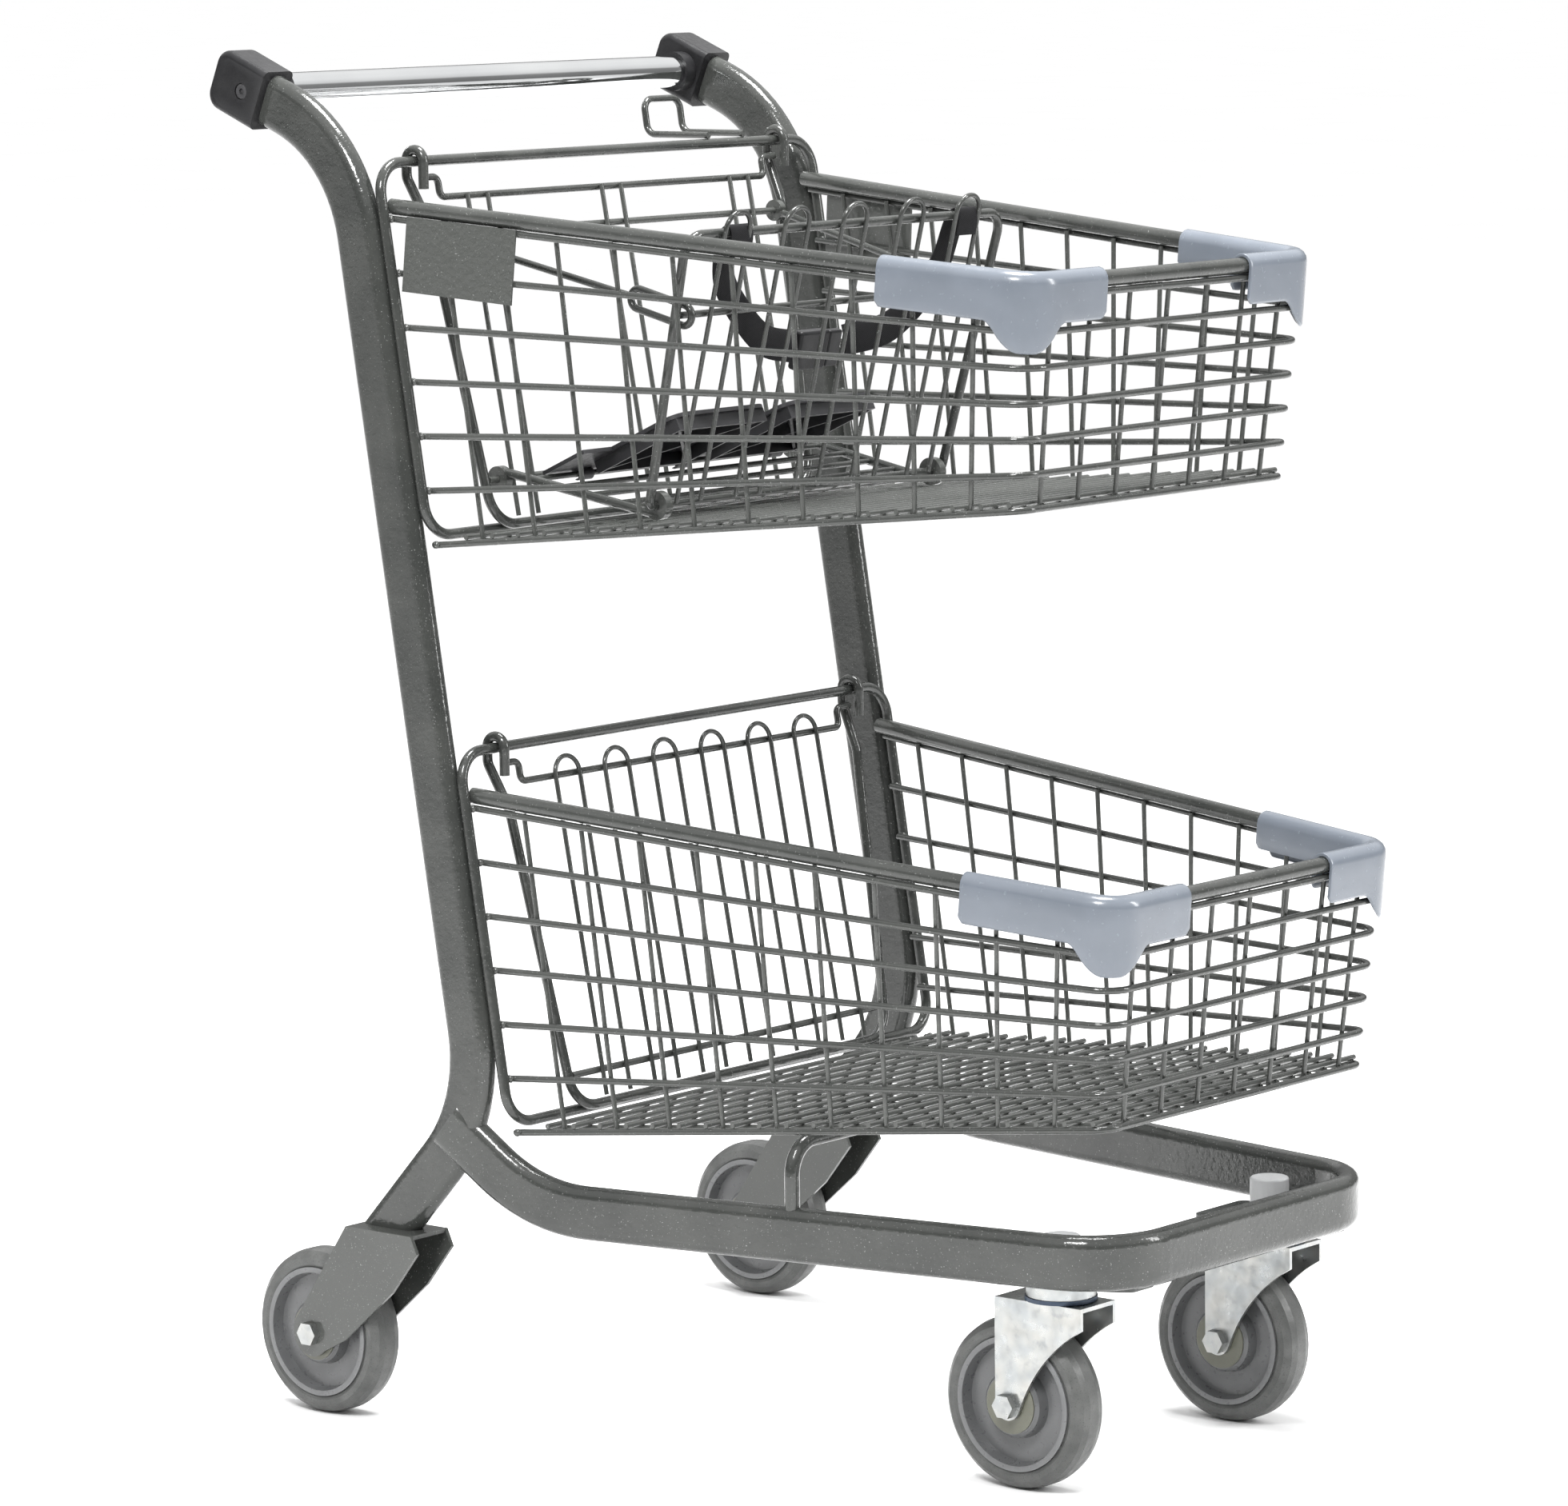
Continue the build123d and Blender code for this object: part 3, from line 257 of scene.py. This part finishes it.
def webbing():
    """Woven belt: fine diagonal ribs over a fibrous black."""
    m = new_material("belt_webbing", (0.014, 0.014, 0.015), 0.75)
    m.node_tree.nodes["Principled BSDF"].inputs["Specular IOR Level"].default_value = 0.15
    tree = m.node_tree
    coords = tree.nodes.new("ShaderNodeTexCoord")
    wave = tree.nodes.new("ShaderNodeTexWave")
    wave.wave_type = "BANDS"
    wave.bands_direction = "DIAGONAL"
    wave.inputs["Scale"].default_value = 420.0
    wave.inputs["Distortion"].default_value = 1.5
    tree.links.new(coords.outputs["Object"], wave.inputs["Vector"])
    tone = ramp(m, wave.outputs["Fac"], 0.2, 0.8, (0.006, 0.006, 0.007), (0.018, 0.018, 0.019))
    to_shader(m, tone, "Base Color")
    bump(m, wave.outputs["Fac"], 0.5, 0.0004)
    bump(m, noise(m, 1500.0, 2.0), 0.3, 0.0002)
    return m


COAT = powder_coat()
CHROME = chrome()
ZINC_HEAD = zinc()
ZINC_HEAD.name = "zinc_head"


def paint_above(material, height):
    """The mounting plate is painted with the frame; the cup below it is zinc."""
    tree = material.node_tree
    coords = tree.nodes.new("ShaderNodeTexCoord")
    parts = tree.nodes.new("ShaderNodeSeparateXYZ")
    tree.links.new(coords.outputs["Object"], parts.inputs["Vector"])
    above = tree.nodes.new("ShaderNodeMath")
    above.operation = "GREATER_THAN"
    above.inputs[1].default_value = height
    tree.links.new(parts.outputs["Z"], above.inputs[0])
    shader = tree.nodes["Principled BSDF"]
    old = shader.inputs["Base Color"].links[0].from_socket
    painted = mix(material, above.outputs["Value"], old, HEAD_PAINT)
    to_shader(material, painted, "Base Color")
    bare = tree.nodes.new("ShaderNodeMath")
    bare.operation = "MULTIPLY_ADD"
    bare.inputs[1].default_value = -0.9
    bare.inputs[2].default_value = 0.95
    tree.links.new(above.outputs["Value"], bare.inputs[0])
    to_shader(material, bare.outputs["Value"], "Metallic")


paint_above(ZINC_HEAD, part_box("caster_fork_left")[1].z + CUP_DEEP)
BLACK = moulded("cap_plastic", (0.010, 0.010, 0.011), (0.018, 0.018, 0.019),
                0.28, 0.42, 900.0, 0.0003, shine=0.22)
BUMPER = moulded("bumper_plastic", (0.118, 0.134, 0.158), (0.130, 0.147, 0.173),
                 0.18, 0.28, 300.0, 0.0001, coat=0.2)
FLAP = moulded("flap_plastic", (0.014, 0.014, 0.015), (0.024, 0.024, 0.026),
               0.32, 0.48, 1100.0, 0.0004, shine=0.3)
TREAD = tread()
HUB = moulded("hub_plastic", (0.088, 0.090, 0.092), (0.108, 0.110, 0.112),
              0.25, 0.40, 600.0, 0.0002)
BUSH = moulded("bush_plastic", (0.058, 0.060, 0.044), (0.080, 0.081, 0.060),
               0.28, 0.42, 700.0, 0.0002)
ZINC = zinc()
SEAL = moulded("seal_plastic", (0.006, 0.018, 0.040), (0.010, 0.028, 0.060),
               0.35, 0.50, 600.0, 0.0003)
STEM = moulded("stem_plastic", (0.30, 0.305, 0.31), (0.36, 0.365, 0.37),
               0.35, 0.50, 500.0, 0.0003)
BELT = webbing()
BLACK_BOLT = moulded("bolt_black", (0.020, 0.020, 0.021), (0.034, 0.034, 0.036),
                     0.30, 0.45, 700.0, 0.0003, shine=0.3)

SLOTS = {
    "powder_coat": COAT,
    "handle_chrome": CHROME,
    "black_plastic": BLACK,
    "black_bolt": BLACK_BOLT,
    "bumper_plastic": BUMPER,
    "tread": TREAD,
    "wheel_hub": HUB,
    "wheel_bush": BUSH,
    "zinc": ZINC,
    "seal_blue": SEAL,
    "stem_grey": STEM,
    "flap_plastic": FLAP,
    "webbing": BELT,
}


def finish_nodes():
    """Give every CAD node the finish of its material slot."""
    for part in frame["record"]["subparts"]:
        obj = bpy.data.objects[part["node"]]
        finish = ZINC_HEAD if part["node"] == "caster_heads" else SLOTS[part["material_slot"]]
        for slot in obj.material_slots:
            slot.material = finish


finish_nodes()


# -------------------------------------------------------------------- pieces
def mesh_object(name, grid, material, body, smooth=True):
    """Turn a bmesh into a piece that rides on a body."""
    bmesh.ops.recalc_face_normals(grid, faces=grid.faces)
    mesh = bpy.data.meshes.new(name)
    grid.to_mesh(mesh)
    grid.free()
    for polygon in mesh.polygons:
        polygon.use_smooth = smooth
    mesh.materials.append(material)
    obj = bpy.data.objects.new(name, mesh)
    bpy.context.collection.objects.link(obj)
    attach(obj, body)
    return obj


def bridge(grid, rings, close=False):
    """Faces between neighbouring rows of vertices."""
    for a, b in zip(rings, rings[1:]):
        count = len(a) if close else len(a) - 1
        for k in range(count):
            n = (k + 1) % len(a)
            grid.faces.new((a[k], a[n], b[n], b[k]))


def smoothstep(t):
    t = max(0.0, min(1.0, t))
    return t * t * (3 - 2 * t)


def corner_path(corner, back, inboard, side, front, radius, step=0.003):
    """Points and tangents from the side leg round the corner to the front leg."""
    half = math.acos(max(-1.0, min(1.0, back.dot(inboard)))) / 2
    reach = radius / math.tan(half)
    axis = (back + inboard).normalized()
    centre = corner + axis * (radius / math.sin(half))
    points = []
    count = int((side - reach) / step)
    for k in range(count + 1):
        points.append(corner + back * (side - (side - reach) * k / count))
    sweep = math.pi - 2 * half
    start = (corner + back * reach) - centre
    turn_axis = start.cross(corner + inboard * reach - centre).normalized()
    for k in range(1, 13):
        points.append(centre + Matrix.Rotation(sweep * k / 12, 3, turn_axis) @ start)
    count = int((front - reach) / step)
    for k in range(1, count + 1):
        points.append(corner + inboard * (reach + (front - reach) * k / count))
    return points


def bumper(tier, side):
    """Moulded corner guard: hood over the rim with a lobe hanging at the corner."""
    node = "%s_bumper_%s" % (tier, side)
    lo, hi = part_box(node)
    rim_lo, rim_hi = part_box(tier + "_rim")
    sign = 1.0 if side == "left" else -1.0
    inner = lo.y if side == "left" else -hi.y
    corner = Vector((rim_hi.x - RIM_RADIUS, inner + GUARD_FRONT, rim_lo.z + RIM_RADIUS))
    rear = Vector((rim_lo.x + RIM_RADIUS, rim_hi.y - RIM_RADIUS, rim_hi.z - RIM_RADIUS))
    back = (rear - corner).normalized()
    inboard = Vector((0, -1, 0))
    points = corner_path(corner, back, inboard, GUARD_SIDE, GUARD_FRONT, GUARD_BEND)
    lengths = [0.0]
    for a, b in zip(points, points[1:]):
        lengths.append(lengths[-1] + (b - a).length)
    total = lengths[-1]
    nearest = min(range(len(points)), key=lambda k: (points[k] - corner).length)
    middle = lengths[nearest]
    radius = GUARD_RADIUS
    up = back.cross(inboard)
    up = up if up.z > 0 else -up
    grid = bmesh.new()
    rings = []
    for k, point in enumerate(points):
        ahead = points[min(k + 1, len(points) - 1)] - points[max(k - 1, 0)]
        out = ahead.normalized().cross(up).normalized()
        if out.dot(corner - rear - inboard) < 0:
            out = -out
        away = abs(lengths[k] - middle)
        lobe = LOBE_DEEP * (1 - smoothstep((away - LOBE_TIP) / LOBE_FADE))
        end = min(lengths[k], total - lengths[k])
        left = 1 - min(end / END_ROUND, 1.0)
        tuck = END_TUCK * (1 - math.sqrt(max(0.0, 1 - left ** 2)))
        deep = GUARD_OUTSIDE + lobe - tuck
        inside = GUARD_INSIDE - tuck
        section = [(-radius, -inside), (-radius, -inside * 0.5), (-radius, 0.0)]
        for q in range(1, 8):
            angle = math.pi - math.pi * q / 8
            section.append((radius * math.cos(angle), radius * math.sin(angle)))
        section += [(radius, 0.0), (radius, -deep * 0.35), (radius, -deep * 0.7)]
        section += [(radius * 0.98, -deep + 1.5 * MM), (radius * 0.86, -deep)]
        ring = []
        for u, w in section:
            place = point + out * u + up * w
            ring.append(grid.verts.new((place.x, sign * place.y, place.z)))
        rings.append(ring)
    bridge(grid, rings)
    name = "%s_guard_%s" % (tier, side)
    piece = mesh_object(name, grid, BUMPER, "chassis")
    wall = piece.modifiers.new("wall", "SOLIDIFY")
    wall.thickness = GUARD_WALL
    wall.offset = 0.0
    wall.use_even_offset = True
    soft = piece.modifiers.new("soft", "BEVEL")
    soft.width = 0.8 * MM
    soft.segments = 2
    soft.limit_method = "ANGLE"
    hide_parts(node)


def smooth_line(points, count):
    """Catmull-Rom points through the given ones."""
    padded = [points[0] * 2 - points[1]] + points + [points[-1] * 2 - points[-2]]
    line = []
    for a, b, c, d in zip(padded, padded[1:], padded[2:], padded[3:]):
        for k in range(count):
            t = k / count
            line.append(0.5 * (2 * b + (c - a) * t + (2 * a - 5 * b + 4 * c - d) * t * t
                               + (3 * b - a - 3 * c + d) * t ** 3))
    line.append(points[-1])
    return line


def belts():
    """Two webbing belts from the top bar of the seat back to the buckle."""
    lo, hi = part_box("seat_back_frame")
    buckle_lo, buckle_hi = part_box("buckle")
    top = Vector((hi.x - SEAT_BAR_RADIUS, 0, hi.z - SEAT_BAR_RADIUS))
    slope = (top.x - (lo.x + SEAT_BAR_RADIUS)) / (top.z - (lo.z + SEAT_BAR_RADIUS))
    clasp = (buckle_lo + buckle_hi) / 2
    behind = (top.x + slope * (clasp.z - top.z)) - clasp.x
    grid = bmesh.new()

    def at(y, z, offset):
        return Vector((top.x + slope * (z - top.z) + offset, y, z))

    runs = (
        [(-128, -22), (-121, -34), (-96, -60), (-62, -83), (-26, clasp.z / MM - top.z / MM + 3)],
        [(136, -22), (133, -34), (118, -58), (84, -82), (32, clasp.z / MM - top.z / MM + 4)],
    )
    for run in runs:
        y_top = run[0][0] * MM
        path = [at(y_top, top.z - 15 * MM, 7.5 * MM), at(y_top, top.z - 2 * MM, 6.6 * MM)]
        path += [at(y_top, top.z + 5.2 * MM, 0.8 * MM), at(y_top, top.z - 4 * MM, -6.2 * MM)]
        path += [at(y * MM, top.z + dz * MM, -behind) for y, dz in run[1:]]
        line = smooth_line(path, 8)
        rings = []
        for k, point in enumerate(line):
            ahead = line[min(k + 1, len(line) - 1)] - line[max(k - 1, 0)]
            flat = Vector((0, ahead.y, ahead.z))
            share = smoothstep((k - TWIST_FROM) / TWIST_ROWS)
            across = Vector((0, 1, 0)) * (1 - share)
            if flat.length > 1e-6:
                normal = Vector((0, -flat.z, flat.y)).normalized()
                across = across + normal * share
            across.normalize()
            row = []
            for q in range(7):
                w = (q / 3 - 1) * BELT_HALF
                hollow = BELT_CUP * (1 - (q / 3 - 1) ** 2) - BELT_CUP
                place = point + across * w + Vector((hollow, 0, 0))
                row.append(grid.verts.new(place))
            rings.append(row)
        bridge(grid, rings)
    piece = mesh_object("belts", grid, BELT, "seat_back")
    wall = piece.modifiers.new("wall", "SOLIDIFY")
    wall.thickness = BELT_WALL
    wall.offset = 0.0
    soft = piece.modifiers.new("soft", "BEVEL")
    soft.width = 0.4 * MM
    soft.segments = 2
    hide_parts("seat_straps")


def blob(grid, centre, size, seed):
    """A small uneven lump of weld metal."""
    made = bmesh.ops.create_icosphere(grid, subdivisions=2, radius=1.0)["verts"]
    for vert in made:
        wave = math.sin(vert.co.x * 5.1 + seed)
        wobble = 1.0 + 0.14 * wave * math.cos(vert.co.z * 6.3 + seed * 1.7)
        vert.co = Vector([c * s * wobble for c, s in zip(vert.co, size)]) + centre


def weld_beads():
    """Weld lumps where the wires of each basket meet its rear posts."""
    grid = bmesh.new()
    for tier in ("upper", "lower"):
        lo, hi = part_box(tier + "_basket_rows")
        post_lo, post_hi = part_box(tier + "_hoop")
        high = hi.z - WIRE_RADIUS
        floor_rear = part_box(tier + "_floor_long_wires")[0].z
        low = floor_rear + WIRE_RADIUS * 0.4
        x_high = post_lo.x + (post_hi.z - high) * LEAN + POST_REACH
        x_low = post_lo.x + (post_hi.z - low) * LEAN + POST_REACH
        for k in range(ROW_SPACES + 1):
            t = k / ROW_SPACES
            z = high + (low - high) * t
            x = x_high + (x_low - x_high) * t - BEAD_BACK
            for sign in (-1, 1):
                place = Vector((x, sign * (hi.y - WIRE_RADIUS + BEAD_OUT), z))
                blob(grid, place, BEAD_SIZE, k * 1.9 + sign)
    mesh_object("weld_beads", grid, COAT, "chassis")


for tier_name in ("upper", "lower"):
    for side_name in ("left", "right"):
        bumper(tier_name, side_name)
belts()
weld_beads()


# ------------------------------------------------------------ floor and light
def floor():
    mesh = bpy.data.meshes.new("floor")
    grid = bmesh.new()
    bmesh.ops.create_circle(grid, cap_ends=True, segments=96, radius=FLOOR_RADIUS)
    grid.to_mesh(mesh)
    grid.free()
    obj = bpy.data.objects.new("floor", mesh)
    obj.location = (0, 0, -FLOOR_DROP)
    bpy.context.collection.objects.link(obj)
    m = new_material("floor_paper", (0.93, 0.93, 0.93), 0.75)
    tone = ramp(m, noise(m, 3.0), 0.3, 0.7, (0.925, 0.925, 0.925), (0.945, 0.945, 0.945))
    to_shader(m, tone, "Base Color")
    mesh.materials.append(m)


def softbox(name, place, aim, size, power):
    light = bpy.data.lights.new(name, "AREA")
    light.shape = "RECTANGLE"
    light.size, light.size_y = size
    light.energy = power
    obj = bpy.data.objects.new(name, light)
    obj.location = place
    obj.rotation_euler = (Vector(aim) - Vector(place)).to_track_quat("-Z", "Y").to_euler()
    bpy.context.collection.objects.link(obj)


def studio():
    world = bpy.data.worlds.new("studio")
    world.use_nodes = True
    tree = world.node_tree
    back = tree.nodes["Background"]
    back.inputs["Strength"].default_value = 1.0
    coords = tree.nodes.new("ShaderNodeTexCoord")
    parts = tree.nodes.new("ShaderNodeSeparateXYZ")
    sky = tree.nodes.new("ShaderNodeValToRGB")
    sky.color_ramp.elements[0].position = 0.02
    sky.color_ramp.elements[0].color = (0.22, 0.22, 0.22, 1.0)
    sky.color_ramp.elements[1].position = 0.62
    sky.color_ramp.elements[1].color = (1.25, 1.25, 1.25, 1.0)
    for place, level in ((0.30, 0.34), (0.40, 1.0)):
        stop = sky.color_ramp.elements.new(place)
        stop.color = (level, level, level, 1.0)
    tree.links.new(coords.outputs["Generated"], parts.inputs["Vector"])
    tree.links.new(parts.outputs["Z"], sky.inputs["Fac"])
    tree.links.new(sky.outputs["Color"], back.inputs["Color"])
    bpy.context.scene.world = world
    softbox("key_light", (1.0, -2.4, 3.0), (0.0, 0.0, 0.5), (0.9, 0.9), 110.0)
    softbox("top_light", (0.0, 0.2, 3.2), (0.0, 0.0, 0.5), (1.0, 1.0), 140.0)
    softbox("fill_light", (2.7, 1.6, 1.8), (0.0, 0.0, 0.5), (0.5, 1.8), 50.0)
    bpy.context.scene.view_settings.view_transform = "Standard"


def camera():
    data = bpy.data.cameras.new("camera")
    data.sensor_width = SENSOR
    data.lens = SENSOR * FOCAL_PIXELS / PHOTO_WIDTH
    data.clip_end = 400.0
    obj = bpy.data.objects.new("camera", data)
    azimuth, elevation, roll = (math.radians(v) for v in CAMERA_TURN)
    turn = Matrix.Rotation(azimuth, 4, "Z") @ Matrix.Rotation(math.pi / 2 - elevation, 4, "X")
    turn = turn @ Matrix.Rotation(roll, 4, "Z")
    obj.matrix_world = Matrix.Translation(CAMERA_PLACE) @ turn
    bpy.context.collection.objects.link(obj)
    bpy.context.scene.camera = obj


floor()
studio()
camera()
